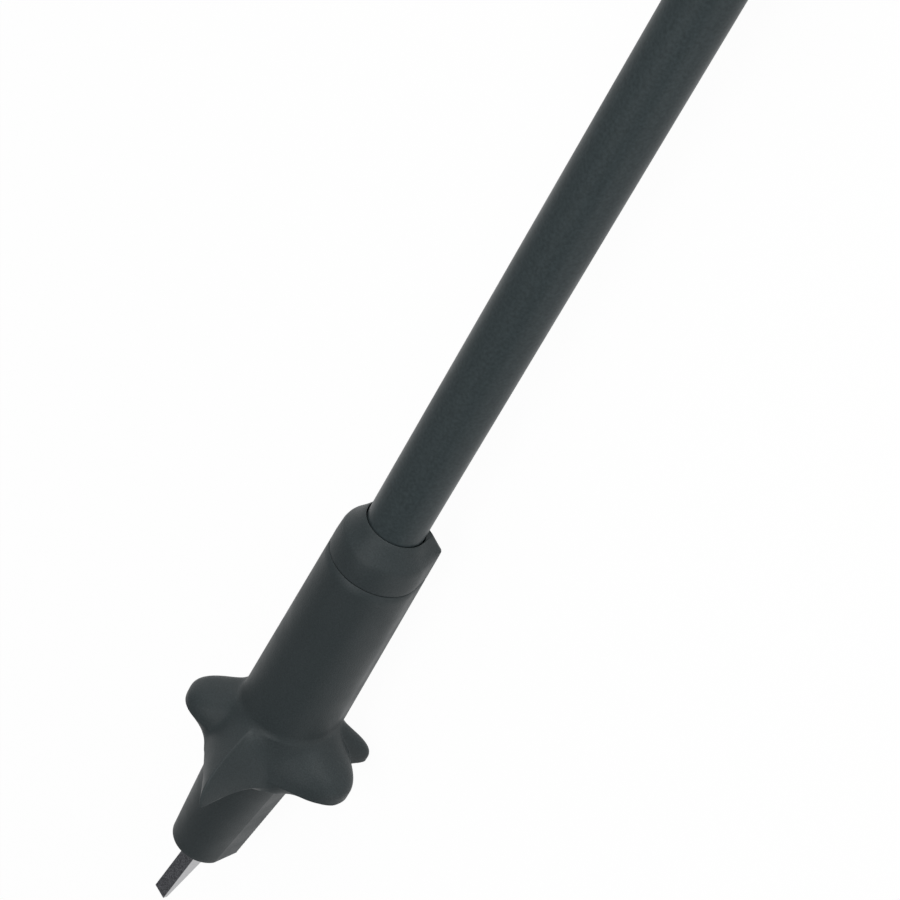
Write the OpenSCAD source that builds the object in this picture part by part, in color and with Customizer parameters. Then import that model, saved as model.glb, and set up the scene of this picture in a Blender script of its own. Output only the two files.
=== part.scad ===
// Passive oscilloscope probe with a sprung hook adapter on its barrel.
// The probe's axis is X, with the hook at +X. The origin is on the axis where the bare
// barrel starts, at the handle's front collar. The probe lies on two lobes of the finger
// star and on the handle. Millimetres.

/* [Barrel] */
// Outer diameter of the barrel
barrel_d = 5; // [4.8:0.1:5.6]
// Length of bare barrel between the handle's collar and the sleeve
barrel_show = 60; // [50:1:80]
// Thickness of the plastic jacket
jacket_t = 0.38; // [0.3:0.02:0.5]
// Thickness of the metal shield tube
shield_t = 0.25; // [0.2:0.05:0.3]
// Length of barrel that the adapter's core covers
barrel_in_core = 8.5; // [7:0.5:9]

/* [Probe tip] */
// Diameter of the needle
needle_d = 0.8; // [0.6:0.1:1]
// Length of needle that stands out of its insulator
needle_out = 5; // [4:0.5:6]
// Length of insulator that stands out of the shield tube
insulator_out = 2.5; // [2:0.5:3]
// Diameter of the inner conductor
wire_d = 0.6; // [0.4:0.1:0.8]
// Length of the tip resistor
resistor_l = 6.5; // [5:0.5:8]
// Length of needle inside the shield tube
needle_in = 11; // [10:0.5:13]
// Length of a spacer bead
bead_l = 2; // [1.5:0.5:3]
// Distance of the first bead from the handle, and of the last one from the resistor
bead_in = 6; // [4:0.5:8]

/* [Hook adapter] */
// Wall of the core around the barrel
core_wall = 0.6; // [0.5:0.05:0.8]
// Length of the core's thick part
core_l = 13; // [12.5:0.5:14]
// Length of the core's stem, in front of the thick part
stem_l = 7.5; // [7:0.5:8]
// Wall of the stem around the contact socket
stem_wall = 0.8; // [0.6:0.1:1]
// Diameter of the contact socket
socket_d = 2.3; // [2.1:0.1:2.4]
// How far the sleeve pulls back
travel = 5; // [4:0.5:5.5]
// Wire diameter of the return spring
spring_wire = 0.4; // [0.3:0.05:0.45]
// Turns of the return spring
spring_turns = 7; // [5:1:8]

/* [Hook] */
// Thickness of the hook blade, across its side faces
hook_t = 1.46; // [1.2:0.1:1.5]
// Height of the hook blade before it tapers
hook_h = 1.94; // [1.6:0.1:2]
// Height of the chisel end
hook_tip_h = 0.48; // [0.3:0.05:0.8]
// Length of hook that shows in front of the sleeve
hook_show = 8.2; // [6:0.1:12]
// Sideways lean of the hook blade, in degrees
hook_lean = 5.6; // [0:0.2:6]
// Length of the wire notch
notch_l = 3; // [2:0.5:3]
// Height that the notch leaves
notch_web = 0.9; // [0.7:0.1:1.2]

/* [Sleeve] */
// Length of the rear cap
cap_l = 4.4; // [3.5:0.1:6]
// Length of the sleeve in front of the cap
sleeve_l = 39.2; // [38:0.1:42]
// Wall of the sleeve at its rear end
sleeve_wall = 0.72; // [0.6:0.02:0.9]
// Growth of the sleeve's radius from the seam to the star
sleeve_draft = 0.31; // [0.1:0.01:0.5]
// Length of the cap's spigot inside the sleeve
spigot_l = 3; // [2:0.5:3]
// Width of the seam groove
seam_w = 0.12; // [0.05:0.01:0.2]
// Height of the side rail over the sleeve
rail_up = 0.2; // [0.1:0.02:0.4]
// Width of the side rail
rail_w = 2.6; // [2:0.1:3.5]

/* [Finger star] */
// Distance from the seam to the star's rear edge
star_at = 18.7; // [17.5:0.1:20.5]
// Distance from the star's rear edge to its flat front face
star_l = 5.4; // [4.5:0.1:6.5]
// Slope of the lobes' rear crests
crest_slope = 1.9; // [1.4:0.1:2.5]
// Radius of the valleys between the lobes, at the front face
valley_r = 5.5; // [5:0.05:6]
// Reach of the broad lobes
lobe_reach = 8.2; // [7:0.1:9]
// Reach of the top fin
fin_reach = 10.9; // [10:0.1:11.5]
// Half-width of a broad lobe, in degrees
lobe_w = 25; // [18:1:30]
// Half-width of the top fin, in degrees
fin_w = 10; // [6:1:13]
// Turn of the top fin from the front face to its root, in degrees
fin_turn = 12; // [0:1:20]
// Thickness of a broad lobe's end
lobe_t = 2; // [1.2:0.1:2.5]
// Sideways lean of the whole star, in degrees
star_lean = 5; // [0:0.5:7]

/* [Nose] */
// Radius of the nose at its end
nose_r = 2.75; // [2.7:0.05:3.2]
// Sideways offset of the nose's end
nose_side = -1.37; // [-1.6:0.01:-1]
// Vertical offset of the nose's end
nose_drop = -0.68; // [-0.9:0.01:-0.4]
// Width of the flat facet along the nose
facet_w = 2.6; // [1.5:0.1:2.8]

/* [Handle] */
// Length of the handle
handle_l = 54; // [52:1:70]
// Diameter of the handle's grip
handle_d = 11.2; // [11:0.1:13]
// Wall of the handle's shells
handle_wall = 1.2; // [0.9:0.1:1.4]
// Radius of the finger guard and of the handle's rear end
guard_r = 6.3; // [6:0.05:7.5]
// Diameter of the cable that the gland takes
cable_d = 3.2; // [2.5:0.1:3.4]
// Distance from the barrel's end in the handle to the board
board_in = 5; // [4:0.5:6]
// Distance from the ferrule to the board
board_back = 2.4; // [1.5:0.1:3]
// Number of grip grooves behind the finger guard
groove_count = 5; // [3:1:5]
// Travel of the attenuation switch
switch_travel = 3; // [2:0.5:3.5]

/* [Clearances] */
// Radial gap of parts that turn or slide on each other
run = 0.05; // [0.03:0.01:0.08]
// Radial gap between the core and the sleeve's bore
slide = 0.1; // [0.08:0.01:0.15]
// Gap of parts that seat on each other
seat = 0.03; // [0.02:0.01:0.05]

/* [Hidden] */
$fn = 48;
eps = 0.01;

plastic = "#3b4143";
grip = "#2e3335";
steel = "#b9bcc0";
brass = "#c9a553";
ptfe = "#e9e6dc";

// Barrel and what it holds
barrel_r = barrel_d / 2;
shield_r = barrel_r - jacket_t - seat;
dielectric_r = shield_r - shield_t - seat;
needle_r = needle_d / 2;
wire_r = wire_d / 2;
collar_t = 0.6;
collar_l = 9;
collar_lip_l = 1.5;
collar_r = barrel_r + seat + collar_t;

// Places along the axis
x_cap = barrel_show;
x_seam = x_cap + cap_l;
x_core = x_seam + spigot_l + seat;
x_barrel_end = x_core + barrel_in_core;
x_shield_end = x_barrel_end + 0.5;
x_insulator_end = x_shield_end + insulator_out;
x_needle_end = x_insulator_end + needle_out;
x_needle = x_shield_end - needle_in;
x_resistor = x_needle - resistor_l;
x_stem = x_core + core_l;
x_stem_end = x_stem + stem_l;
x_star = x_seam + star_at;
x_nose = x_star + star_l / 2;
x_end = x_seam + sleeve_l;
x_hook_end = x_end + hook_show;

// Core and sleeve radii
core_bore_r = barrel_r + run;
core_r = core_bore_r + core_wall;
socket_r = socket_d / 2;
stem_r = socket_r + seat + stem_wall;
sleeve_bore_r = core_r + slide;
sleeve_r = sleeve_bore_r + sleeve_wall;
star_hub_r = sleeve_r + sleeve_draft;

// Spring: it sits round the stem, between the core and a shoulder in the sleeve
spring_in_r = stem_r + slide + 0.05;
spring_mid_r = spring_in_r + spring_wire / 2;
spring_bore_r = spring_in_r + spring_wire + slide;
x_shoulder = x_stem_end + travel - 1.5;
x_wide_bore_end = x_shoulder - 3;
stem_bore_r = stem_r + slide;
x_stem_bore_end = x_stem_end + travel + 0.4;

// Hook blade: straight root in the stem, leaning blade from hook_x on
hook_x = x_end - travel - 1.3;
hook_top_z = 0.6;
hook_root_t = 1;
hook_root_h = 1.4;
hook_side = -0.23;
x_root = x_stem_end - 2;
x_notch = x_end - notch_l - 0.8;
socket_l = x_root - x_insulator_end - 0.7;
socket_x = x_root - socket_l;
hook_gap = 0.2;
lean_reach = hook_t / 2 + (x_end - hook_x) * tan(hook_lean);
slot_y = [hook_side - lean_reach - hook_gap, hook_side + hook_t / 2 + hook_gap];
slot_z = [hook_top_z - hook_h - hook_gap, hook_top_z + hook_gap];

fin_angle = 67.5;
// Finger star: each lobe's angle from +Y towards +Z, its reach, its half-widths after and
// before that angle, its roundness and the thickness of its end
lobes = [[-48, lobe_reach, 0.43 * lobe_w, 0.43 * lobe_w, 2, lobe_t],
    [-8, lobe_reach + 0.35, 1.33 * lobe_w, 1.33 * lobe_w, 1.8, 0.7 * lobe_t],
    [fin_angle, fin_reach, 1.46 * fin_w, 0.7 * fin_w, 0.94, 0.4 * lobe_t],
    [144, lobe_reach, lobe_w, lobe_w, 2.6, lobe_t],
    [230, lobe_reach, 0.8 * lobe_w, 0.8 * lobe_w, 2, lobe_t]];
lobe_start_w = 0.89;
lean_angle = -32;
star_rings = 20;
star_sectors = 120;

// Nose: a cone whose axis runs from the sleeve's axis to the offset end
nose_l = x_end - x_nose;
nose_off = norm([nose_side, nose_drop]);
nose_turn = atan2(nose_drop, nose_side);
nose_tilt = atan(nose_off / nose_l);
nose_len = norm([nose_l, nose_off]);
nose_taper = atan((star_hub_r - nose_r) / nose_len);
facet_angle = -4;
facet_edge = 14;

// Cable gland
gland_neck_r = 2.9;
gland_flange_r = 3.7;
gland_flange_l = 1.5;
gland_out_l = 6;
gland_out_r = 3.7;
gland_end_r = 2.7;
cable_r = cable_d / 2;
braid_r = cable_r - 0.3;
ferrule_l = 5;
ferrule_t = 0.35;

// Handle
handle_r = handle_d / 2;
handle_bore_r = handle_r - handle_wall;
x_rear = -handle_l;
guard_l = 4;
guard_x = -7;
guard_seat_r = handle_r - 0.6;
groove_x = guard_x - 1.6;
groove_pitch = 1.8;
groove_t = 0.35;
front_r = 4.9;
rear_wall = 3;
swell_l = 14;
board_t = 0.8;
board_top = -0.4;
board_w = 7.2;
board_front = -collar_l - board_in;
x_ferrule = x_rear + rear_wall + gland_flange_l + 0.1;
board_x = x_ferrule + ferrule_l + board_back;
board_l = board_front - board_x;
ledge_w = 1.2;
wire_lap = 2;
button_gap = 0.15;

// Electrical parts on the board
switch_in = 11;
switch_x = board_front - switch_in;
switch_l = 9;
switch_w = 4.4;
switch_h = 2.2;
slider_l = 2.4;
button_l = 4.6;
button_w = 4.2;
button_top = handle_r + 0.9;
button_x = switch_x - switch_travel / 2;
trimmer_x = (board_x + switch_x - switch_l / 2) / 2;
trimmer_r = 1.9;
trimmer_h = 1.8;
rotor_r = 1.05;
chip = [1.6, 0.8, 0.5];
chip_in = 3;
chip_y = 2;

// Puts a shape that is built along Z onto the probe's axis, starting at x
module on_axis(x) {
    translate([x, 0, 0]) rotate([0, 90, 0]) children();
}

module rod(x0, x1, r) {
    on_axis(x0) cylinder(h = x1 - x0, r = r);
}

module tube(x0, x1, r_out, r_in) {
    difference() {
        rod(x0, x1, r_out);
        rod(x0 - eps, x1 + eps, r_in);
    }
}

module cone(x0, x1, r0, r1) {
    on_axis(x0) cylinder(h = x1 - x0, r1 = r0, r2 = r1);
}

// A block from its lowest corner to its highest corner
module block(low, high) {
    translate(low) cube(high - low);
}

// Closed tube of round wire along a list of points about the X axis
module swept_wire(path, radius, sides) {
    n = len(path);
    frames = [for (i = [0 : n - 1])
        let (a = path[max(i - 1, 0)], b = path[min(i + 1, n - 1)], t = (b - a) / norm(b - a),
            u = [0, path[i][1], path[i][2]] / norm([path[i][1], path[i][2]]),
            v = cross(t, u))
        [u, v / norm(v)]];
    points = [for (i = [0 : n - 1], k = [0 : sides - 1])
        path[i] + radius * (cos(360 * k / sides) * frames[i][0]
            + sin(360 * k / sides) * frames[i][1])];
    skin = [for (i = [0 : n - 2], k = [0 : sides - 1])
        let (a = i * sides + k, b = i * sides + (k + 1) % sides)
        [a, b, b + sides, a + sides]];
    start = [for (k = [sides - 1 : -1 : 0]) k];
    end = [for (k = [0 : sides - 1]) (n - 1) * sides + k];
    polyhedron(points = points, faces = concat(skin, [start], [end]), convexity = 10);
}

// ---- Barrel ----

module barrel_tube() {
    color(plastic) tube(-collar_l, x_barrel_end, barrel_r, barrel_r - jacket_t);
}

module ground_tube() {
    color(steel) tube(-collar_l - 3, x_shield_end, shield_r, shield_r - shield_t);
}

module tip_insulator() {
    color(ptfe) difference() {
        union() {
            rod(x_needle + 2, x_shield_end, dielectric_r);
            rod(x_shield_end - eps, x_insulator_end, dielectric_r - 0.2);
        }
        rod(x_needle, x_insulator_end + 1, needle_r + seat);
    }
}

module tip_pin() {
    point_l = 1;
    color(steel) {
        rod(x_needle, x_needle_end - point_l, needle_r);
        cone(x_needle_end - point_l, x_needle_end, needle_r, needle_r / 4);
    }
}

module tip_resistor() {
    color("#7a5a3c") rod(x_resistor, x_needle, dielectric_r - 0.6);
}

module inner_conductor() {
    color(brass) rod(board_front - wire_lap, x_resistor, wire_r);
}

module spacer_beads() {
    bead_count = 3;
    pitch = (x_resistor - 2 * bead_in - bead_l) / (bead_count - 1);
    color(ptfe) for (i = [0 : bead_count - 1])
        tube(bead_in + i * pitch, bead_in + i * pitch + bead_l, dielectric_r, wire_r + seat);
}

module barrel_collar() {
    color(steel) {
        tube(-collar_l, collar_lip_l, collar_r, barrel_r + seat);
        tube(seat, collar_lip_l, front_r - 0.7, barrel_r + seat);
    }
}

// ---- Handle ----

// Outline of half the handle, radius against length, with the guard's groove
module handle_profile() {
    arc_steps = 8;
    swell = [for (i = [0 : arc_steps])
        let (u = i / arc_steps, k = (1 - cos(180 * u)) / 2)
        [handle_r + (guard_r - handle_r) * k, -handle_l + swell_l + 4 - swell_l * u]];
    grooves = [for (i = [0 : groove_count - 1], p = [[0, 0], [0.2, 1], [0.6, 1], [0.8, 0]])
        [handle_r - groove_t * p[1], groove_x - groove_pitch * i - p[0]]];
    polygon(concat(
        [[0, 0], [front_r, 0], [guard_seat_r + 0.5, guard_x + guard_l + 0.5],
            [guard_seat_r + 0.5, guard_x + guard_l], [guard_seat_r, guard_x + guard_l],
            [guard_seat_r, guard_x], [handle_r, guard_x]],
        grooves,
        swell,
        [[guard_r, -handle_l + 2], [guard_r - 1.4, -handle_l], [0, -handle_l]]));
}

// The shell before it is split: outer body less the cavity and the end bores
module handle_shell() {
    difference() {
        on_axis(0) rotate_extrude() handle_profile();
        rod(x_rear + rear_wall, -collar_l, handle_bore_r);
        rod(-collar_l - eps, eps, collar_r + seat);
        rod(x_rear - eps, x_rear + rear_wall + eps, gland_neck_r + seat);
    }
}

module handle_top() {
    slot_l = slider_l + switch_travel + 0.6;
    color(plastic) difference() {
        handle_shell();
        block([x_rear - 1, -10, -10], [1, 10, seat / 2]);
        block([switch_x - slot_l / 2, -1.1, 0], [switch_x + slot_l / 2, 1.1, 10]);
        translate([trimmer_x, 0, 0]) cylinder(h = 10, r = rotor_r + 0.35);
    }
}

module handle_bottom() {
    ledge_z = board_top - board_t - seat;
    color(plastic) {
        difference() {
            handle_shell();
            block([x_rear - 1, -10, -seat / 2], [1, 10, 10]);
        }
        for (side = [-1, 1])
            intersection() {
                rod(board_x, board_x + board_l, handle_bore_r + eps);
                block([board_x, side > 0 ? board_w / 2 - ledge_w : -10, -10],
                    [board_x + board_l, side > 0 ? 10 : ledge_w - board_w / 2, ledge_z]);
            }
    }
}

module finger_guard() {
    color(grip) on_axis(guard_x + seat)
        rotate_extrude()
            difference() {
                translate([guard_seat_r + seat, 0]) square([guard_r - guard_seat_r - seat,
                    guard_l - 2 * seat]);
                for (k = [0 : 2])
                    translate([guard_r, (k + 0.5) * guard_l / 3]) circle(r = 0.3);
            }
}

module circuit_board() {
    color("#2f6b46") block([board_x, -board_w / 2, board_top - board_t],
        [board_x + board_l, board_w / 2, board_top]);
}

// Small chips in a row on the board
module chips(count, y) {
    pitch = 1.5 * chip[0];
    for (i = [0 : count - 1])
        translate([board_front - chip_in - i * pitch, y - chip[1] / 2, board_top + seat / 2])
            cube(chip);
}

module chip_resistors() {
    color("#1f1f22") chips(2, chip_y);
}

module chip_capacitors() {
    color("#b9935a") chips(2, -chip_y);
}

module trimmer_body() {
    color(ptfe) translate([trimmer_x, 0, board_top + seat / 2]) difference() {
        cylinder(h = trimmer_h, r = trimmer_r);
        translate([0, 0, 0.5]) cylinder(h = trimmer_h, r = rotor_r + run);
    }
}

module trimmer_screw() {
    color(brass) translate([trimmer_x, 0, board_top + seat / 2 + 0.55]) difference() {
        cylinder(h = trimmer_h, r = rotor_r);
        translate([-2, -0.2, trimmer_h - 0.5]) cube([4, 0.4, 1]);
    }
}

module switch_frame() {
    base = board_top + seat / 2;
    wall = 0.5;
    color(steel) difference() {
        block([switch_x - switch_l / 2, -switch_w / 2, base],
            [switch_x + switch_l / 2, switch_w / 2, base + switch_h]);
        block([switch_x - switch_l / 2 + wall, -switch_w / 2 + wall, base + wall],
            [switch_x + switch_l / 2 - wall, switch_w / 2 - wall, base + switch_h + 1]);
    }
}

module switch_slider() {
    base = board_top + seat / 2 + 0.5;
    color("#1f1f22") block([button_x - 1.6, -1.6, base + 0.1],
        [button_x + 1.6, 1.6, base + switch_h - 0.4]);
}

module switch_button() {
    stem_low = board_top + seat / 2 + switch_h + 0.2;
    color(grip) {
        block([button_x - slider_l / 2, -0.9, stem_low],
            [button_x + slider_l / 2, 0.9, button_top - 0.3]);
        difference() {
            block([button_x - button_l / 2, -button_w / 2, 0],
                [button_x + button_l / 2, button_w / 2, button_top]);
            rod(button_x - button_l, button_x + button_l, handle_r + button_gap);
            for (k = [-1 : 1])
                translate([button_x + k * 1.2 - 0.2, -3, button_top - 0.25]) cube([0.4, 6, 1]);
        }
    }
}

module crimp_ferrule() {
    color(brass) tube(x_ferrule, x_ferrule + ferrule_l, braid_r + ferrule_t, braid_r);
}

module cable_gland() {
    x_in = x_rear + rear_wall;
    pitch = gland_out_l / 4;
    color(grip) difference() {
        union() {
            rod(x_in + seat, x_in + gland_flange_l, gland_flange_r);
            rod(x_rear - seat - eps, x_in + 2 * seat, gland_neck_r);
            cone(x_rear - gland_out_l, x_rear - seat, gland_end_r, gland_out_r);
        }
        rod(x_rear - gland_out_l - 1, x_in + gland_flange_l + 1, cable_r);
        for (k = [1 : 3])
            tube(x_rear - k * pitch - 0.35, x_rear - k * pitch + 0.35, gland_out_r + 1,
                gland_end_r - 0.35);
    }
}

// ---- Hook adapter ----

module hook_core() {
    clip_l = 2;
    color("#4a4f52") difference() {
        union() {
            rod(x_core, x_stem, core_r);
            rod(x_stem - eps, x_stem_end, stem_r);
        }
        rod(x_core - 1, x_shield_end + 0.2, core_bore_r);
        rod(x_core, x_insulator_end + 0.3, dielectric_r);
        rod(x_core, x_stem_end + 1, socket_r + seat);
        rod(x_core + 2.5, x_core + 2.5 + clip_l, core_bore_r + 0.35);
    }
}

module grip_clip() {
    x0 = x_core + 2.55;
    color(brass) difference() {
        tube(x0, x0 + 1.9, core_bore_r + 0.32, barrel_r + 0.03);
        rotate([55, 0, 0]) block([x0 - 1, 0, -0.7], [x0 + 3, 6, 0.7]);
    }
}

module contact_socket() {
    color(brass) difference() {
        rod(socket_x, x_root, socket_r);
        rod(socket_x - 1, x_needle_end + 0.4, needle_r + run);
    }
}

module hook_blade() {
    back = hook_top_z - hook_h;
    web = hook_top_z - notch_web;
    color(steel) {
        block([x_root, hook_side - hook_root_t / 2 + 0.2, hook_top_z - hook_root_h],
            [hook_x + 0.4, hook_side + hook_root_t / 2 + 0.2, hook_top_z]);
        translate([hook_x, hook_side, 0]) rotate([0, 0, -hook_lean])
            translate([0, hook_t / 2, 0]) rotate([90, 0, 0])
                linear_extrude(hook_t) translate([-hook_x, 0]) polygon([
                    [hook_x, hook_top_z], [x_hook_end, hook_top_z],
                    [x_hook_end, hook_top_z - hook_tip_h], [x_end + 0.2, back],
                    [x_notch + notch_l, back], [x_notch + notch_l, web],
                    [x_notch, web], [x_notch, back], [hook_x, back]]);
    }
}

module hook_spring() {
    steps = 16;
    count = spring_turns * steps;
    start = x_stem + spring_wire / 2 + seat;
    span = x_shoulder - x_stem - spring_wire - 2 * seat;
    path = [for (i = [0 : count])
        let (a = 360 * i / steps)
        [start + span * i / count, spring_mid_r * cos(a), spring_mid_r * sin(a)]];
    color(steel) swept_wire(path, spring_wire / 2, 8);
}

// ---- Sleeve ----

// Angle from b to a, from -180 to 180
function turn(a, b) = (a - b + 540) % 360 - 180;

// Turn of the fin, u mm in front of the rear edge
function fin_lag(u) = fin_turn * (1 - max(0, u) / star_l);

// How far each lobe stands over the valley, at an angle, u mm in front of the rear edge
function lobe_rises(a, u, valley, hub) = [for (l = lobes)
    let (lag = l[0] == fin_angle ? fin_lag(u) : 0, d = turn(a, l[0] + lag),
        crest = min(l[1] - valley, crest_slope * u - (valley - hub)),
        w = (d > 0 ? l[2] : l[3]) * (lobe_start_w + (1 - lobe_start_w) * u / star_l))
    max(0, crest) * exp(-pow(abs(d) / w, l[4])) * min(1, (star_l - u) / l[5])];

// The star's radius there: the lobes blend into each other over a widening valley
function star_radius(a, u) =
    let (hub = star_hub_r + 0.04, valley = hub + (valley_r - hub) * u / star_l,
        rises = lobe_rises(a, u, valley, hub))
    valley + pow(rises * [for (h = rises) h * h], 1 / 3);

// Finger star: rings round the axis, which lean to one side as a whole and turn with the fin;
// the first ring is sunk in the sleeve
module star() {
    lean = tan(star_lean);
    points = [for (i = [0 : star_rings], k = [0 : star_sectors - 1])
        let (u = i > 0 ? star_l * pow((i - 1) / (star_rings - 1), 1.2) : -0.3,
            a = fin_angle + fin_lag(u) + 360 * k / star_sectors,
            r = i > 0 ? star_radius(a, u) : star_hub_r - 0.6)
        [x_star + u - lean * r * cos(a - lean_angle), r * cos(a), r * sin(a)]];
    skin = [for (i = [0 : star_rings - 1], k = [0 : star_sectors - 1])
        let (a = i * star_sectors + k, b = i * star_sectors + (k + 1) % star_sectors)
        [a, a + star_sectors, b + star_sectors, b]];
    rear = [for (k = [0 : star_sectors - 1]) k];
    front = [for (k = [star_sectors - 1 : -1 : 0]) star_rings * star_sectors + k];
    polyhedron(points = points, faces = concat(skin, [rear], [front]), convexity = 6);
}

// Flat-topped rail along the side, over the cap and the sleeve
module rail(x0, x1) {
    rail_angle = -46;
    rail_r0 = sleeve_r + rail_up;
    rise = atan(sleeve_draft / (x_star - x_seam));
    rotate([rail_angle, 0, 0]) translate([x_seam, 0, 0]) rotate([0, 0, rise])
        block([x0 - x_seam, sleeve_bore_r, -rail_w / 2], [x1 - x_seam, rail_r0, rail_w / 2]);
}

// Frame whose X axis runs along the nose
module nose_frame() {
    translate([x_nose, 0, 0]) rotate([nose_turn, 0, 0]) rotate([0, 0, nose_tilt])
        rotate([-nose_turn, 0, 0]) children();
}

// Frame on the facet's plane, with +Y out of it
module facet_frame() {
    rotate([facet_angle, 0, 0]) translate([0, star_hub_r * cos(facet_edge), 0])
        rotate([0, 0, -nose_taper]) children();
}

// Nose: the offset cone with its flat facet, cut square at the end
module nose() {
    edge_z = star_hub_r * sin(facet_edge);
    intersection() {
        nose_frame() difference() {
            union() {
                cone(0, nose_len + 1, star_hub_r, nose_r - (star_hub_r - nose_r) / nose_len);
                facet_frame()
                    block([2.5, -star_hub_r / 2, edge_z - facet_w], [nose_len + 1, 0, edge_z]);
            }
            facet_frame() block([2.5, 0, -5], [nose_len + 2, 5, 5]);
        }
        rod(x_nose, x_end, star_hub_r * 2);
    }
}

module sleeve_body() {
    color(plastic) difference() {
        union() {
            cone(x_seam + seam_w, x_star, sleeve_r, star_hub_r);
            rod(x_star - eps, x_nose + eps, star_hub_r);
            star();
            nose();
            rail(x_seam + seam_w, x_star + 1);
        }
        rod(x_seam, x_wide_bore_end, sleeve_bore_r);
        rod(x_wide_bore_end - eps, x_shoulder, spring_bore_r);
        rod(x_shoulder - eps, x_stem_bore_end, stem_bore_r);
        block([x_stem_bore_end - eps, slot_y[0], slot_z[0]], [x_end + 1, slot_y[1], slot_z[1]]);
    }
}

module sleeve_cap() {
    shoulder_l = 1.9;
    rim_r = barrel_r + 0.2;
    rail_rise = 0.95;
    color(plastic) difference() {
        union() {
            cone(x_cap, x_cap + shoulder_l, rim_r, sleeve_r - 0.12);
            cone(x_cap + shoulder_l - eps, x_seam, sleeve_r - 0.12, sleeve_r - 0.02);
            rod(x_seam - eps, x_seam + spigot_l, sleeve_bore_r - seat);
            intersection() {
                rail(x_cap, x_seam);
                cone(x_cap, x_seam, rim_r, rim_r + rail_rise * cap_l);
            }
        }
        rod(x_cap - 1, x_seam + spigot_l + 1, barrel_r + slide);
    }
}

barrel_tube();
ground_tube();
tip_insulator();
tip_pin();
tip_resistor();
inner_conductor();
spacer_beads();
barrel_collar();
handle_top();
handle_bottom();
finger_guard();
circuit_board();
chip_resistors();
chip_capacitors();
trimmer_body();
trimmer_screw();
switch_frame();
switch_slider();
switch_button();
crimp_ferrule();
cable_gland();
hook_core();
grip_clip();
contact_socket();
hook_blade();
hook_spring();
sleeve_body();
sleeve_cap();
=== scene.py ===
"""Looks for the oscilloscope probe: a slim barrel in its handle, with a sprung hook adapter at its end.

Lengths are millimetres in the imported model's frame until a mesh is made: X runs along the probe to the hook,
Z is up, and an angle round the probe runs from +Y towards +Z, in degrees.
"""

import math

import bpy
import numpy as np
from mathutils import Matrix, Vector


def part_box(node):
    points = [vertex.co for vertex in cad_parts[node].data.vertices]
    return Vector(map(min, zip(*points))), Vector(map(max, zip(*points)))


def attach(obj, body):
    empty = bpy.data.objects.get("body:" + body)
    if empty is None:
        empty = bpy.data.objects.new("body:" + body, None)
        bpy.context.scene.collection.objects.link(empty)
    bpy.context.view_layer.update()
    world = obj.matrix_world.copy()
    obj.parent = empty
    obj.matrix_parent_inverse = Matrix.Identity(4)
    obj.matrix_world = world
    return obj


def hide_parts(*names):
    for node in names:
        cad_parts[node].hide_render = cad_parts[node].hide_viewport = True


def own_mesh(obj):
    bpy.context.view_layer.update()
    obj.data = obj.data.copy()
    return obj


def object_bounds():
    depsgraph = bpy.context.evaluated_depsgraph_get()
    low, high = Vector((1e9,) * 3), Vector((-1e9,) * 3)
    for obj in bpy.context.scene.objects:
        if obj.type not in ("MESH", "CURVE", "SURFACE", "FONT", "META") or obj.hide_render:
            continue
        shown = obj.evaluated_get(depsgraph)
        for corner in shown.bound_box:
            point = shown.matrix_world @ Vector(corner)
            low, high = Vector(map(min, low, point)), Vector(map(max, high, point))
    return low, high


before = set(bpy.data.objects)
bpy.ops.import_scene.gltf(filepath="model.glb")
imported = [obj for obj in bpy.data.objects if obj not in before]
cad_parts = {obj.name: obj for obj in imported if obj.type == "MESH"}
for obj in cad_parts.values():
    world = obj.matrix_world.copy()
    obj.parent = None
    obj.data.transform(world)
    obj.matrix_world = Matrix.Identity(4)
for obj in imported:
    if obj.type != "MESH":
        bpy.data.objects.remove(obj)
cad_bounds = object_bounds()
MM = 0.001


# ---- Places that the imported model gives, in millimetres ----


def span(node):
    """Lowest and highest corner of a CAD node, in millimetres."""
    low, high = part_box(node)
    return np.array(low) / MM, np.array(high) / MM


X_CAP = span("sleeve_cap")[0][0]
X_SEAM = span("sleeve_body")[0][0]
NOSE_EXTRA = 0.25
X_NOSE_END = span("sleeve_body")[1][0] + NOSE_EXTRA
X_HOOK_ROOT = span("hook_blade")[0][0]
X_HOOK_END = span("hook_blade")[1][0]
FLOOR_Z = cad_bounds[0].z / MM

# Sleeve
SLEEVE_R = 3.97
HUB_R = 4.28
BARREL_HOLE_R = 2.6
SPIGOT_R = 3.22
SPIGOT_L = 3.0
CORE_BORE_R = 3.25
CORE_BORE_END = 88.43
SPRING_BORE_R = 2.63
SPRING_BORE_END = 91.43
STEM_BORE_R = 2.08
# The hook's slot, from its lowest to its highest corner across and up, and its back
SLOT_LOW = (-1.78, -1.54)
SLOT_HIGH = (0.70, 0.80)
SLOT_BACK = 93.4

# Finger star: each lobe has a sloping rear crest, and the front face is flat
STAR_BACK = 83.1
STAR_FRONT = 88.3
STAR_FALL = 0.5
CREST_SLOPE = 1.9
CREST_ROUND = 1.6
VALLEY_R = 5.5
LOBE_START_W = 0.89
LOBE_BLUNT = 0.6
STAR_LEAN = 0.57
LEAN_ANGLE = -32
STAR_SUNK_R = 3
# The star blends into the sleeve over a fillet, and its front face meets the nose over a small one
STAR_FILLET = 0.7
FACE_FILLET = 0.1
FACE_DEPTH = 0.4
# The stretch where the star is blended in
STAR_FROM = STAR_BACK - 1.2
STAR_TO = 93
# A lobe's angle at the front face, its turn from there to the rear edge, its reach, its half-width after
# and before its angle, its roundness, and where its end starts
LOBES = (
    (144, 0, 8.15, 24.5, 28, 2.6, 86.5),
    (-9, 0, 8.55, 30, 32, 1.9, 87.0),
    (-48, 0, 8.25, 10.7, 10.7, 2.0, 86.6),
    (230, 0, 8.2, 20, 20, 2.0, 86.6),
    (67.5, 14, 10.9, 17.5, 8.5, 0.94, 87.7),
)

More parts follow.
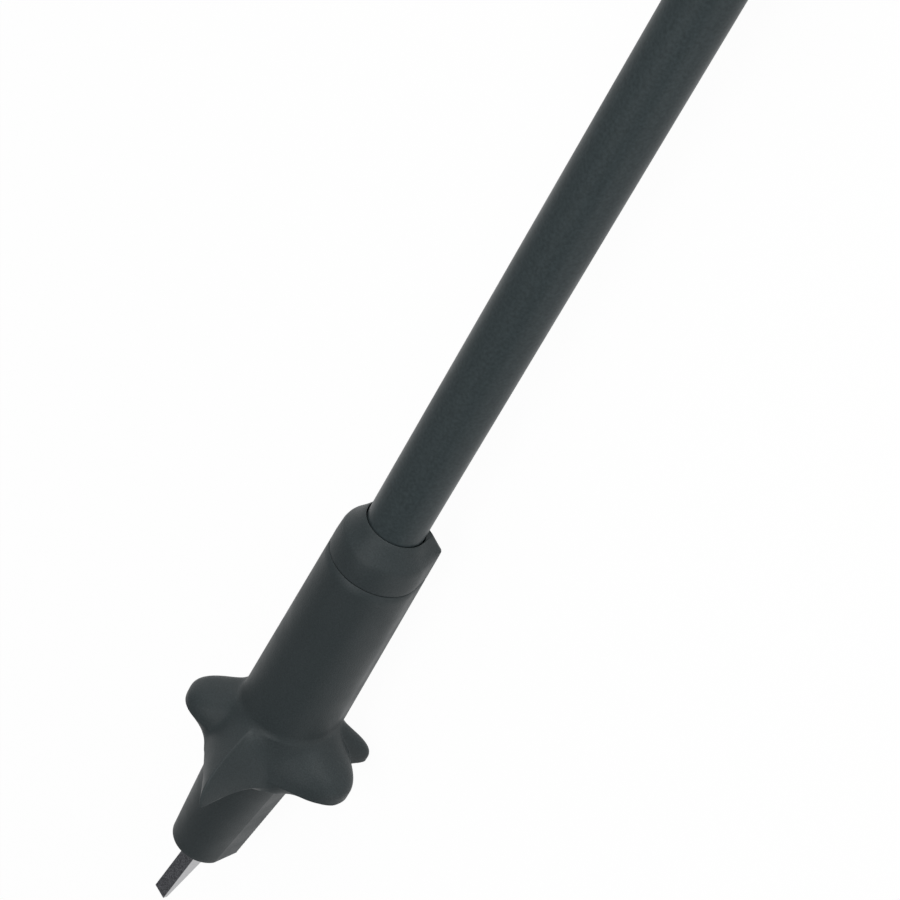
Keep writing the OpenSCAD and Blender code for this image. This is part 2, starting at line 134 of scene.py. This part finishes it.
# Nose
NOSE_START = 85.7
NOSE_R0 = 4.25
NOSE_R1 = 2.78
NOSE_Y = -1.37
NOSE_Z = -0.68
FACET_ANGLE = -4.0
FACET_EDGE = 14.0
FACET_START = 0.12
FACET_W = 2.6
FACET_W_AT = 0.8
FACET_FLARE = 0.6

# Rail along the side
RAIL_ANGLE = -50.0
RAIL_HALF = 2.0
RAIL_UP = 0.46
RAIL_END = STAR_BACK + 0.8
# On the cap the rail climbs the shoulder and then runs on almost level: radius at the cap's rear, and rise
CAP_CLIMB = (3.1, 1.03)
CAP_LEVEL = (4.37, 0.014)

# Hook: its blade leans to one side from where it leaves its root, and its wire notch is inside the nose
HOOK_TOP = span("hook_blade")[1][2]
HOOK_H = 2.08
HOOK_T = 1.5
HOOK_TIP_H = 0.48
HOOK_START = X_NOSE_END - 6.3
HOOK_TIP = X_HOOK_END + 0.03
WEDGE_START = X_NOSE_END + 0.2
HOOK_SIDE = -0.23
HOOK_LEAN = 5.6
HOOK_EDGE = 0.05
NOTCH_START = X_NOSE_END - 3.8
NOTCH_L = 3.0
NOTCH_WEB = 0.9
ROOT_END = HOOK_START + 0.3
ROOT_H = 1.4
ROOT_T = 1.0
ROOT_SIDE = 0.2

# Even angles round the probe, and the arcs over the fin and the facet's corner that need finer ones
SIDES = 360
FINE_ARCS = ((62, 84), (290, 338))
FINE_STEP = 0.25
CORNER_NUDGE = 0.12
CORNER_ROOM = 0.3
# Steps between the sleeve's rings, and where the close ones over the star start
TUBE_STEP = 1.0
CLOSE_STEP = 0.1
NOSE_STEP = 0.5
CLOSE_FROM = 80.8


# ---- Mesh helpers ----


def smooth_max(a, b, k):
    """The larger of two radii, rounded over k where they meet."""
    h = np.clip(0.5 + 0.5 * (a - b) / k, 0, 1)
    return b * (1 - h) + a * h + k * h * (1 - h)


def smooth_min(a, b, k):
    """The smaller of two radii, rounded over k where they meet."""
    return -smooth_max(-a, -b, k)


def turn_gap(a, b):
    """Angle from b to a, from -180 to 180."""
    return (a - b + 180) % 360 - 180


def ring(x, radius, angles):
    """Points round the probe's axis at x."""
    turns = np.radians(angles)
    radii = radius * np.ones_like(turns)
    return np.stack([x * np.ones_like(turns), radii * np.cos(turns), radii * np.sin(turns)], 1)


def add_mesh(name, points, faces, body, nodes, materials, sharp):
    """Makes a piece from points in millimetres, smooth apart from edges sharper than an angle."""
    mesh = bpy.data.meshes.new(name)
    mesh.from_pydata((np.asarray(points) * MM).tolist(), [], [list(map(int, f)) for f in faces])
    mesh.validate()
    for material in materials:
        mesh.materials.append(material)
    mesh.shade_smooth()
    mesh.set_sharp_from_angle(angle=math.radians(sharp))
    piece = bpy.data.objects.new(name, mesh)
    bpy.context.scene.collection.objects.link(piece)
    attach(piece, body)
    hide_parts(*nodes)
    return piece


def loop_skin(rings):
    """Points and faces of a closed skin: each ring is joined to the next, and the last to the first."""
    count, sides = len(rings), len(rings[0])
    points = np.concatenate(rings)
    faces = []
    for i in range(count):
        j = (i + 1) % count
        for k in range(sides):
            m = (k + 1) % sides
            faces.append((i * sides + k, j * sides + k, j * sides + m, i * sides + m))
    return points, faces


# ---- Materials ----

DARK = (0.017, 0.0225, 0.024)
# Noise values stay near a half, mostly between these
NOISE_LOW, NOISE_HIGH = 0.3, 0.7
# Patches of gloss on plastic are this many grains wide
PATCH_GRAINS = 22


def shader(name, colour, roughness, metallic=0.0, specular=0.5):
    """A plain material with its node tree and its shader."""
    material = bpy.data.materials.new(name)
    material.use_nodes = True
    tree = material.node_tree
    bsdf = tree.nodes["Principled BSDF"]
    bsdf.inputs["Base Color"].default_value = (*colour, 1)
    bsdf.inputs["Roughness"].default_value = roughness
    bsdf.inputs["Metallic"].default_value = metallic
    bsdf.inputs["Specular IOR Level"].default_value = specular
    return material, tree, bsdf


def noise(tree, size, detail=3.0, stretch=(1, 1, 1)):
    """Noise with grains of about a size in millimetres, fixed to the piece."""
    coords = tree.nodes.new("ShaderNodeTexCoord")
    mapping = tree.nodes.new("ShaderNodeMapping")
    mapping.inputs["Scale"].default_value = [1 / s for s in stretch]
    tex = tree.nodes.new("ShaderNodeTexNoise")
    tex.inputs["Scale"].default_value = 1 / (size * MM)
    tex.inputs["Detail"].default_value = detail
    tree.links.new(coords.outputs["Object"], mapping.inputs["Vector"])
    tree.links.new(mapping.outputs["Vector"], tex.inputs["Vector"])
    return tex.outputs["Fac"]


def spread(tree, value, low, high):
    """Maps a noise value onto a range."""
    node = tree.nodes.new("ShaderNodeMapRange")
    node.inputs["From Min"].default_value = NOISE_LOW
    node.inputs["From Max"].default_value = NOISE_HIGH
    node.inputs["To Min"].default_value = low
    node.inputs["To Max"].default_value = high
    tree.links.new(value, node.inputs["Value"])
    return node.outputs["Result"]


def vary_colour(tree, bsdf, value, dark, light):
    """Colours the material from dark to light with a noise value."""
    ramp = tree.nodes.new("ShaderNodeValToRGB")
    ramp.color_ramp.elements[0].position = NOISE_LOW
    ramp.color_ramp.elements[0].color = (*dark, 1)
    ramp.color_ramp.elements[1].position = NOISE_HIGH
    ramp.color_ramp.elements[1].color = (*light, 1)
    tree.links.new(value, ramp.inputs["Fac"])
    tree.links.new(ramp.outputs["Color"], bsdf.inputs["Base Color"])


def bump(tree, bsdf, value, height):
    """Relief of a height in millimetres."""
    node = tree.nodes.new("ShaderNodeBump")
    node.inputs["Strength"].default_value = 1.0
    node.inputs["Distance"].default_value = height * MM
    tree.links.new(value, node.inputs["Height"])
    tree.links.new(node.outputs["Normal"], bsdf.inputs["Normal"])


def scaled(colour, k):
    """A colour made k times as bright, and no brighter than white."""
    return tuple(min(1.0, c * k) for c in colour)


def moulded_plastic(name, colour, roughness, grain, relief, specular=0.5):
    """Plastic from an eroded mould: fine relief, with slight changes of gloss and tone."""
    material, tree, bsdf = shader(name, colour, roughness, specular=specular)
    fine = noise(tree, grain)
    broad = noise(tree, grain * PATCH_GRAINS, 2.0)
    vary_colour(tree, bsdf, fine, scaled(colour, 0.82), scaled(colour, 1.18))
    tree.links.new(spread(tree, broad, roughness - 0.05, roughness + 0.05), bsdf.inputs["Roughness"])
    bump(tree, bsdf, fine, relief)
    return material


def drawn_metal(name, colour, roughness, grain, relief, along=12):
    """Metal with fine lines along the probe."""
    material, tree, bsdf = shader(name, colour, roughness, metallic=1.0)
    lines = noise(tree, grain, 4.0, (along, 1, 1))
    vary_colour(tree, bsdf, lines, scaled(colour, 0.85), scaled(colour, 1.08))
    tree.links.new(spread(tree, lines, roughness - 0.08, roughness + 0.08), bsdf.inputs["Roughness"])
    bump(tree, bsdf, lines, relief)
    return material


def blasted_metal(name, colour, roughness, grain, relief):
    """Metal with a sparkling matte face."""
    material, tree, bsdf = shader(name, colour, roughness, metallic=1.0)
    grains = noise(tree, grain, 1.0)
    vary_colour(tree, bsdf, grains, scaled(colour, 0.45), scaled(colour, 1.6))
    bump(tree, bsdf, grains, relief)
    return material


sleeve_plastic = moulded_plastic("sleeve_plastic", scaled(DARK, 1.24), 0.5, 0.13, 0.02, 0.25)
barrel_plastic = moulded_plastic("barrel_plastic", scaled(DARK, 1.75), 0.4, 0.25, 0.0005, 0.15)
handle_plastic = moulded_plastic("handle_plastic", DARK, 0.52, 0.3, 0.012, 0.3)
soft_grip = moulded_plastic("soft_grip", scaled(DARK, 0.75), 0.75, 0.12, 0.01, 0.2)
core_plastic = moulded_plastic("core_plastic", (0.07, 0.08, 0.085), 0.4, 0.3, 0.004)
wax_plastic = moulded_plastic("wax_plastic", (0.78, 0.77, 0.72), 0.35, 0.5, 0.004)
chip_black = moulded_plastic("chip_black", (0.02, 0.02, 0.022), 0.5, 0.1, 0.006)
chip_ceramic = moulded_plastic("chip_ceramic", (0.42, 0.28, 0.16), 0.45, 0.08, 0.004)
resistor_coat = moulded_plastic("resistor_coat", (0.3, 0.17, 0.09), 0.3, 0.4, 0.004)
board_mask = moulded_plastic("board_mask", (0.03, 0.17, 0.07), 0.25, 0.6, 0.003)
drawn_steel = drawn_metal("drawn_steel", (0.56, 0.57, 0.58), 0.3, 0.08, 0.003)
turned_brass = drawn_metal("turned_brass", (0.72, 0.52, 0.22), 0.28, 0.06, 0.003, 1)
gold_flash = drawn_metal("gold_flash", (0.86, 0.64, 0.26), 0.2, 0.1, 0.002, 1)
hook_top = blasted_metal("hook_top", (0.138, 0.138, 0.147), 0.5, 0.11, 0.02)
hook_side = drawn_metal("hook_side", (0.44, 0.44, 0.45), 0.38, 0.06, 0.003, 20)

NODE_MATERIALS = {
    "barrel_tube": barrel_plastic,
    "ground_tube": drawn_steel,
    "tip_insulator": wax_plastic,
    "tip_pin": gold_flash,
    "tip_resistor": resistor_coat,
    "inner_conductor": turned_brass,
    "spacer_beads": wax_plastic,
    "barrel_collar": drawn_steel,
    "handle_top": handle_plastic,
    "handle_bottom": handle_plastic,
    "finger_guard": soft_grip,
    "circuit_board": board_mask,
    "chip_resistors": chip_black,
    "chip_capacitors": chip_ceramic,
    "trimmer_body": wax_plastic,
    "trimmer_screw": turned_brass,
    "switch_frame": drawn_steel,
    "switch_slider": chip_black,
    "switch_button": soft_grip,
    "crimp_ferrule": turned_brass,
    "cable_gland": soft_grip,
    "hook_core": core_plastic,
    "grip_clip": gold_flash,
    "contact_socket": gold_flash,
    "hook_spring": drawn_steel,
}


def dress_node(node, material, edge):
    """Gives a CAD node its material, and bevels its edges by a width in millimetres if there is one."""
    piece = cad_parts[node]
    piece.data.materials.clear()
    piece.data.materials.append(material)
    if edge:
        bevel = piece.modifiers.new("edge", "BEVEL")
        bevel.width = edge * MM
        bevel.segments = 2
        bevel.limit_method = "ANGLE"
        bevel.angle_limit = math.radians(35)
        bevel.harden_normals = True


# Bevel widths of the nodes that are seen
EDGES = {"handle_top": 0.12, "handle_bottom": 0.12, "finger_guard": 0.06, "switch_button": 0.15,
         "cable_gland": 0.15, "barrel_collar": 0.08, "trimmer_screw": 0.04, "circuit_board": 0.04,
         "switch_frame": 0.04}
for node, material in NODE_MATERIALS.items():
    dress_node(node, material, EDGES.get(node, 0))


# ---- Sleeve ----


def with_rail(radius, angles, top):
    """Adds the side rail to a ring of radii: a narrow flat crest with a straight flank on each side."""
    off = np.maximum(np.abs(turn_gap(angles, RAIL_ANGLE)) - RAIL_HALF, 0)
    reach = np.degrees(np.arccos(np.clip(radius / top, 0, 1)))
    flank = radius / np.cos(np.radians(np.clip(reach - off, 0, 89)))
    return np.where(off < reach, np.minimum(flank, top), radius)


def star_radius(angles, x):
    """Radius of the finger star: lobes that blend into each other over a widening valley."""
    place = x + STAR_LEAN * np.cos(np.radians(angles - LEAN_ANGLE))
    along = np.maximum(place - STAR_BACK, 0)
    share = np.minimum(along / (STAR_FRONT - STAR_BACK), 1)
    valley = HUB_R + (VALLEY_R - HUB_R) * share
    cubes = np.zeros_like(angles)
    for angle, turn, reach, after, before, roundness, end in LOBES:
        off = turn_gap(angles, angle + turn * (1 - share))
        width = np.where(off > 0, after, before) * (LOBE_START_W + (1 - LOBE_START_W) * share)
        slope = CREST_SLOPE * along - (valley - HUB_R)
        crest = np.maximum(smooth_min(reach - valley, slope, CREST_ROUND), 0)
        ended = np.clip((STAR_FRONT - place) / (STAR_FRONT - end), 0, 1)
        blunt = np.sqrt(off**2 + LOBE_BLUNT**2) - LOBE_BLUNT
        cubes += (crest * ended * np.exp(-((blunt / width) ** roundness))) ** 3
    fall = np.clip((place - STAR_FRONT) / STAR_FALL, 0, 1)
    sunk = np.minimum(place - STAR_BACK, 0)
    return (valley + np.cbrt(cubes)) * (1 - fall) + STAR_SUNK_R * fall + sunk


def plane_radius(reach, turn):
    """Distance from the axis to a flat face, at turns in radians from the face's normal."""
    return reach / np.maximum(np.cos(turn), 0.2)


def nose_radius(angles, x):
    """Distance from the probe's axis to the offset cone with its flat facet."""
    share = np.clip((x - NOSE_START) / (X_NOSE_END - NOSE_START), 0, 1)
    cy, cz = NOSE_Y * share, NOSE_Z * share
    cone_r = NOSE_R0 + (NOSE_R1 - NOSE_R0) * share
    turns = np.radians(angles)
    off = cy * np.cos(turns) + cz * np.sin(turns)
    circle = off + np.sqrt(np.maximum(off * off - (cy * cy + cz * cz - cone_r * cone_r), 0))
    if share < FACET_START:
        return circle
    # the facet starts on the circle at p, FACET_EDGE from its own normal, and ends at a corner, q
    normal = math.radians(FACET_ANGLE)
    start = math.radians(FACET_ANGLE + FACET_EDGE)
    py, pz = cy + cone_r * math.cos(start), cz + cone_r * math.sin(start)
    flat = plane_radius(py * math.cos(normal) + pz * math.sin(normal), turns - normal)
    width = FACET_W + FACET_FLARE * (share - FACET_W_AT)
    qy, qz = py + width * math.sin(normal), pz - width * math.cos(normal)
    # beyond the corner a side face runs on until it touches the circle
    touch = math.atan2(qz - cz, qy - cy) - math.acos(min(1.0, cone_r / math.hypot(qy - cy, qz - cz)))
    side = plane_radius(cy * math.cos(touch) + cz * math.sin(touch) + cone_r, turns - touch)
    first = math.degrees(math.atan2(pz, py))
    corner = math.degrees(math.atan2(qz, qy))
    last = math.degrees(math.atan2(cz + cone_r * math.sin(touch), cy + cone_r * math.cos(touch)))
    on_flat = (turn_gap(angles, corner) >= 0) & (turn_gap(angles, first) <= 0)
    on_side = (turn_gap(angles, corner) < 0) & (turn_gap(angles, last) > 0)
    shape = np.where(on_flat, flat, circle)
    return np.where(on_side, np.maximum(circle, side), shape)


def sleeve_radius(angles, x):
    """Radius of the sleeve's outside: drafted tube or nose, with the rail and the star."""
    drafted = SLEEVE_R + (HUB_R - SLEEVE_R) * np.clip((x - X_SEAM) / (STAR_BACK - X_SEAM), 0, 1)
    body = drafted * np.ones_like(angles) if x < NOSE_START else nose_radius(angles, x)
    if x < RAIL_END:
        body = with_rail(body, angles, drafted + RAIL_UP)
    if STAR_FROM < x < STAR_TO:
        fillet = STAR_FILLET if x < STAR_FRONT - FACE_DEPTH else FACE_FILLET
        body = smooth_max(body, star_radius(angles, x), fillet)
    return body


def ring_angles():
    """Even angles, finer over some arcs, with a close pair at each corner of the rail."""
    found = np.arange(SIDES) * 360.0 / SIDES
    for first, last in FINE_ARCS:
        fine = np.arange(first, last + FINE_STEP / 2, FINE_STEP)
        found = np.concatenate([found[(found < first) | (found > last)], fine])
    for side in (-1, 1):
        for nudge in (-CORNER_NUDGE, CORNER_NUDGE):
            corner = (RAIL_ANGLE + side * (RAIL_HALF + nudge)) % 360
            found = found[np.abs(turn_gap(found, corner)) > CORNER_ROOM]
            found = np.append(found, corner)
    return np.sort(found)


ANGLES = ring_angles()


def slot_radius(angles):
    """Distance from the axis to the rectangular slot's wall."""
    tiny = 1e-6
    reaches = []
    for axis, part in enumerate((np.cos(np.radians(angles)), np.sin(np.radians(angles)))):
        wall = np.where(part > 0, SLOT_HIGH[axis], SLOT_LOW[axis])
        reaches.append(np.abs(wall / np.where(np.abs(part) < tiny, tiny, part)))
    return np.minimum(*reaches)


def sleeve_places(first, last):
    """Places of the sleeve's rings from first to last: close together over the star."""
    star_end = STAR_FRONT + STAR_FALL
    return np.concatenate([
        [first],
        np.arange(X_SEAM + TUBE_STEP, CLOSE_FROM - 0.2, TUBE_STEP),
        np.arange(CLOSE_FROM, star_end + 0.8, CLOSE_STEP),
        np.arange(star_end + 1, last - 0.2, NOSE_STEP),
    ])


def make_sleeve():
    """Sleeve with its rail, star and nose outside, and the hook's slot and three bores inside."""
    edge, end_round, slot_edge = 0.07, 0.15, 0.08
    rings = [ring(X_SEAM, sleeve_radius(ANGLES, X_SEAM) - edge, ANGLES)]
    for x in sleeve_places(X_SEAM + edge, X_NOSE_END - end_round):
        rings.append(ring(x, sleeve_radius(ANGLES, x), ANGLES))
    for turn in np.linspace(0, 90, 8):
        t = math.radians(turn)
        x = X_NOSE_END - end_round * (1 - math.sin(t))
        rings.append(ring(x, sleeve_radius(ANGLES, x) - end_round * (1 - math.cos(t)), ANGLES))
    slot = slot_radius(ANGLES)
    inside = [(X_NOSE_END, slot + slot_edge), (X_NOSE_END - slot_edge, slot), (SLOT_BACK, slot),
              (SLOT_BACK, STEM_BORE_R), (SPRING_BORE_END, STEM_BORE_R), (SPRING_BORE_END, SPRING_BORE_R),
              (CORE_BORE_END, SPRING_BORE_R), (CORE_BORE_END, CORE_BORE_R), (X_SEAM, CORE_BORE_R)]
    rings += [ring(x, r, ANGLES) for x, r in inside]
    points, faces = loop_skin(rings)
    return add_mesh("sleeve_skin", points, faces, "sleeve", ["sleeve_body"],
                    [sleeve_plastic], sharp=50)


def make_cap():
    """Rear cap: a rounded shoulder round the barrel, a straight band up to the seam, and a spigot."""
    groove, edge, hole_edge = 0.06, 0.07, 0.08
    length = X_SEAM - X_CAP - groove
    profile = [(0.0, 2.62), (0.03, 2.66), (0.5, 2.9), (0.95, 3.16), (1.24, 3.34), (1.54, 3.54), (1.84, 3.74),
               (1.95, 3.79), (2.3, 3.88), (length - 0.8, SLEEVE_R - 0.01), (length - edge, SLEEVE_R - 0.005),
               (length, SLEEVE_R - edge)]
    rings = []
    for x, r in profile:
        top = min(start + rise * x for start, rise in (CAP_LEVEL, CAP_CLIMB))
        if x == length:
            top -= edge
        rings.append(ring(X_CAP + x, with_rail(r * np.ones_like(ANGLES), ANGLES, top), ANGLES))
    inside = [(X_SEAM - groove, SPIGOT_R), (X_SEAM + SPIGOT_L, SPIGOT_R), (X_SEAM + SPIGOT_L, BARREL_HOLE_R),
              (X_CAP + hole_edge, BARREL_HOLE_R)]
    rings += [ring(x, r, ANGLES) for x, r in inside]
    points, faces = loop_skin(rings)
    return add_mesh("sleeve_cap_skin", points, faces, "sleeve", ["sleeve_cap"],
                    [sleeve_plastic], sharp=30)


# ---- Hook ----


def hook_blade():
    """Points and faces of the wedge with its notch: two flat sides, then the edge faces between them."""
    lean = math.radians(HOOK_LEAN)
    back = HOOK_TOP - HOOK_H
    web = HOOK_TOP - NOTCH_WEB
    notch_end = NOTCH_START + NOTCH_L
    outline = [(HOOK_START, HOOK_TOP), (HOOK_TIP, HOOK_TOP), (HOOK_TIP, HOOK_TOP - HOOK_TIP_H),
               (WEDGE_START, back), (notch_end, back), (notch_end, web), (NOTCH_START, web),
               (NOTCH_START, back), (HOOK_START, back)]
    count = len(outline)
    points = []
    for side in (-1, 1):
        for x, z in outline:
            u, v = x - HOOK_START, side * HOOK_T / 2
            points.append((HOOK_START + u * math.cos(lean) + v * math.sin(lean),
                           HOOK_SIDE - u * math.sin(lean) + v * math.cos(lean), z))
    faces = [tuple(range(count)), tuple(range(2 * count - 1, count - 1, -1))]
    for i in range(count):
        j = (i + 1) % count
        faces.append((j, i, i + count, j + count))
    return points, faces


def hook_root():
    """Points and faces of the bar that holds the blade in the core."""
    half, low = ROOT_T / 2, HOOK_TOP - ROOT_H
    middle = HOOK_SIDE + ROOT_SIDE
    section = [(-half, low), (half, low), (half, HOOK_TOP), (-half, HOOK_TOP)]
    points = [(x, middle + y, z) for x in (X_HOOK_ROOT, ROOT_END) for y, z in section]
    faces = [(0, 1, 2, 3), (7, 6, 5, 4), (0, 4, 5, 1), (1, 5, 6, 2), (2, 6, 7, 3), (3, 7, 4, 0)]
    return points, faces


def make_hook():
    """Hook with its edge faces blasted, its flat sides ground and its edges a little rounded."""
    points, faces = hook_blade()
    root_points, root_faces = hook_root()
    edge_faces = range(2, len(faces))
    faces += [tuple(len(points) + k for k in face) for face in root_faces]
    hook = add_mesh("hook_skin", points + root_points, faces, "adapter", ["hook_blade"],
                    [hook_side, hook_top], sharp=20)
    for k in edge_faces:
        hook.data.polygons[k].material_index = 1
    bevel = hook.modifiers.new("edge", "BEVEL")
    bevel.width = HOOK_EDGE * MM
    bevel.segments = 2
    return hook


def squash_spring():
    """Gives the spring a copy of its mesh, of its own."""
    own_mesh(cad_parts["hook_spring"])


make_sleeve()
make_cap()
make_hook()
squash_spring()


# ---- Studio ----

FLOOR_HALF = 6.0
FLOOR_GREY = 0.9
FLOOR_GLOW = 0.965
SOFT_GREY = 0.3
FLAG_COLOUR = (0.3, 0.31, 0.32)
FLAG_TOWARDS = (0.3, 0.1, 0.95)
FLAG_EDGE = 0.6
CAMERA_AT = Vector((-65.87, 82.2, 131.66))
CAMERA_RIGHT = Vector((-0.4063, 0.5711, -0.7132))
CAMERA_UP = Vector((-0.6875, -0.7053, -0.1730))
LENS = 101.2
SENSOR_W = 36
LIGHTS_AIM = (80, 0, 0)
# Name, place, width and height in millimetres, and watts
LIGHTS = (
    ("key", (-236, 37, 122), (360, 150), 0.84),
    ("top", (30, 68, 324), (240, 160), 0.46),
    ("side", (148, 332, 34), (160, 160), 0.13),
)


def seen_directly(tree):
    """1 for rays that show the background: from the camera, off a glossy face or through glass."""
    path = tree.nodes.new("ShaderNodeLightPath")
    value = path.outputs["Is Camera Ray"]
    for name in ("Is Glossy Ray", "Is Transmission Ray"):
        either = tree.nodes.new("ShaderNodeMath")
        either.operation = "MAXIMUM"
        tree.links.new(value, either.inputs[0])
        tree.links.new(path.outputs[name], either.inputs[1])
        value = either.outputs[0]
    return value


def make_floor():
    """Pale floor at the probe's lowest point: it takes the shadow, and looks white where it is seen."""
    mesh = bpy.data.meshes.new("floor")
    z = FLOOR_Z * MM
    corners = [(x * FLOOR_HALF, y * FLOOR_HALF, z) for x, y in ((-1, -1), (1, -1), (1, 1), (-1, 1))]
    mesh.from_pydata(corners, [], [(0, 1, 2, 3)])
    floor = bpy.data.objects.new("floor", mesh)
    bpy.context.scene.collection.objects.link(floor)
    material = bpy.data.materials.new("floor_paper")
    material.use_nodes = True
    tree = material.node_tree
    bsdf = tree.nodes["Principled BSDF"]
    bsdf.inputs["Base Color"].default_value = (FLOOR_GREY, FLOOR_GREY, FLOOR_GREY, 1)
    bsdf.inputs["Roughness"].default_value = 0.9
    glow = tree.nodes.new("ShaderNodeEmission")
    glow.inputs["Color"].default_value = (1, 1, 1, 1)
    mix = tree.nodes.new("ShaderNodeMixShader")
    share = tree.nodes.new("ShaderNodeMath")
    share.operation = "MULTIPLY"
    share.inputs[1].default_value = FLOOR_GLOW
    tree.links.new(seen_directly(tree), share.inputs[0])
    tree.links.new(share.outputs[0], mix.inputs[0])
    tree.links.new(bsdf.outputs[0], mix.inputs[1])
    tree.links.new(glow.outputs[0], mix.inputs[2])
    tree.links.new(mix.outputs[0], tree.nodes["Material Output"].inputs["Surface"])
    floor.data.materials.append(material)


def make_world():
    """Soft light, a white background, and a dark flag overhead that glossy faces show."""
    world = bpy.data.worlds.new("studio")
    bpy.context.scene.world = world
    world.use_nodes = True
    tree = world.node_tree
    soft = tree.nodes["Background"]
    soft.inputs["Color"].default_value = (SOFT_GREY, SOFT_GREY, SOFT_GREY, 1)
    white = tree.nodes.new("ShaderNodeBackground")
    white.inputs["Color"].default_value = (1, 1, 1, 1)
    flag = tree.nodes.new("ShaderNodeBackground")
    flag.inputs["Color"].default_value = (*FLAG_COLOUR, 1)
    coords = tree.nodes.new("ShaderNodeTexCoord")
    facing = tree.nodes.new("ShaderNodeVectorMath")
    facing.operation = "DOT_PRODUCT"
    facing.inputs[1].default_value = Vector(FLAG_TOWARDS).normalized()
    tree.links.new(coords.outputs["Generated"], facing.inputs[0])
    edge = tree.nodes.new("ShaderNodeMapRange")
    edge.inputs["From Min"].default_value = 0.0
    edge.inputs["From Max"].default_value = FLAG_EDGE
    tree.links.new(facing.outputs["Value"], edge.inputs["Value"])
    path = tree.nodes.new("ShaderNodeLightPath")
    share = tree.nodes.new("ShaderNodeMath")
    share.operation = "MULTIPLY"
    tree.links.new(edge.outputs["Result"], share.inputs[0])
    tree.links.new(path.outputs["Is Glossy Ray"], share.inputs[1])
    flagged = tree.nodes.new("ShaderNodeMixShader")
    tree.links.new(share.outputs[0], flagged.inputs[0])
    tree.links.new(white.outputs[0], flagged.inputs[1])
    tree.links.new(flag.outputs[0], flagged.inputs[2])
    mix = tree.nodes.new("ShaderNodeMixShader")
    tree.links.new(seen_directly(tree), mix.inputs[0])
    tree.links.new(soft.outputs[0], mix.inputs[1])
    tree.links.new(flagged.outputs[0], mix.inputs[2])
    tree.links.new(mix.outputs[0], tree.nodes["World Output"].inputs["Surface"])


def softbox(name, place, size, power):
    """Area lamp at a place in millimetres, facing the adapter."""
    lamp = bpy.data.lights.new(name, "AREA")
    lamp.shape = "RECTANGLE"
    lamp.size, lamp.size_y = size[0] * MM, size[1] * MM
    lamp.energy = power
    obj = bpy.data.objects.new(name, lamp)
    obj.location = Vector(place) * MM
    obj.rotation_euler = (Vector(LIGHTS_AIM) - Vector(place)).to_track_quat("-Z", "Y").to_euler()
    bpy.context.scene.collection.objects.link(obj)


def make_camera():
    """Camera behind and above the adapter, rolled so that the hook is at the lower left."""
    data = bpy.data.cameras.new("camera")
    data.lens = LENS
    data.sensor_width = SENSOR_W
    data.clip_start, data.clip_end = 0.005, 20
    camera = bpy.data.objects.new("camera", data)
    right = CAMERA_RIGHT.normalized()
    up = (CAMERA_UP - CAMERA_UP.dot(right) * right).normalized()
    back = right.cross(up)
    turn = Matrix((right, up, back)).transposed().to_4x4()
    camera.matrix_world = Matrix.Translation(CAMERA_AT * MM) @ turn
    bpy.context.scene.collection.objects.link(camera)
    bpy.context.scene.camera = camera


make_floor()
make_world()
for light in LIGHTS:
    softbox(*light)
make_camera()
bpy.context.scene.view_settings.view_transform = "Standard"
